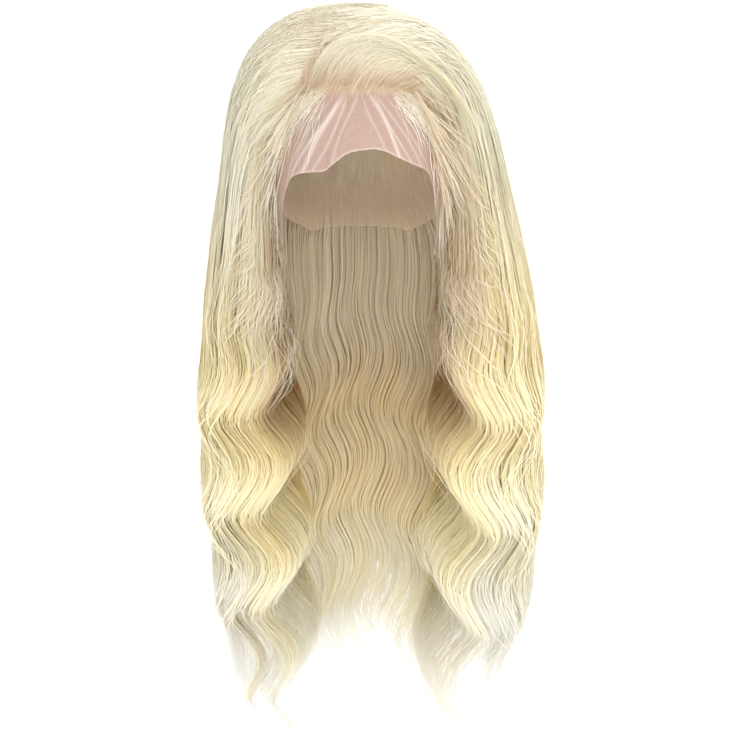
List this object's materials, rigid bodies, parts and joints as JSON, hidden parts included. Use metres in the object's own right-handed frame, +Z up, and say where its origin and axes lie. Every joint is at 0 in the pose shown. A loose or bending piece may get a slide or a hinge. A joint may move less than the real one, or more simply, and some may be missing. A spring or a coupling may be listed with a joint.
{
  "type": "full lace wig",
  "caption": "Long wavy wig as worn: an open lace cap with loose scalloped lace at the forehead and pale hair tied over it, parted at one side and hanging in locks at the front and back.",
  "frame": {"origin": "inside of the cap's crown, where the top of the head touches it", "axes": "+Z up, the wearer faces -Y, +X to the wearer's left"},
  "size_m": [0.3097, 0.2187, 0.6769],
  "materials": {
    "lace": "fine matte net",
    "hair": "soft shine along the strands"
  },
  "bodies": {
    "root": {"lace_cap": "lace", "crown_hair_right": "hair", "crown_hair_left": "hair", "crown_hair_back": "hair", "hanging_hair_right": "hair", "hanging_hair_left": "hair", "hanging_hair_back": "hair"}
  },
  "joints": []
}
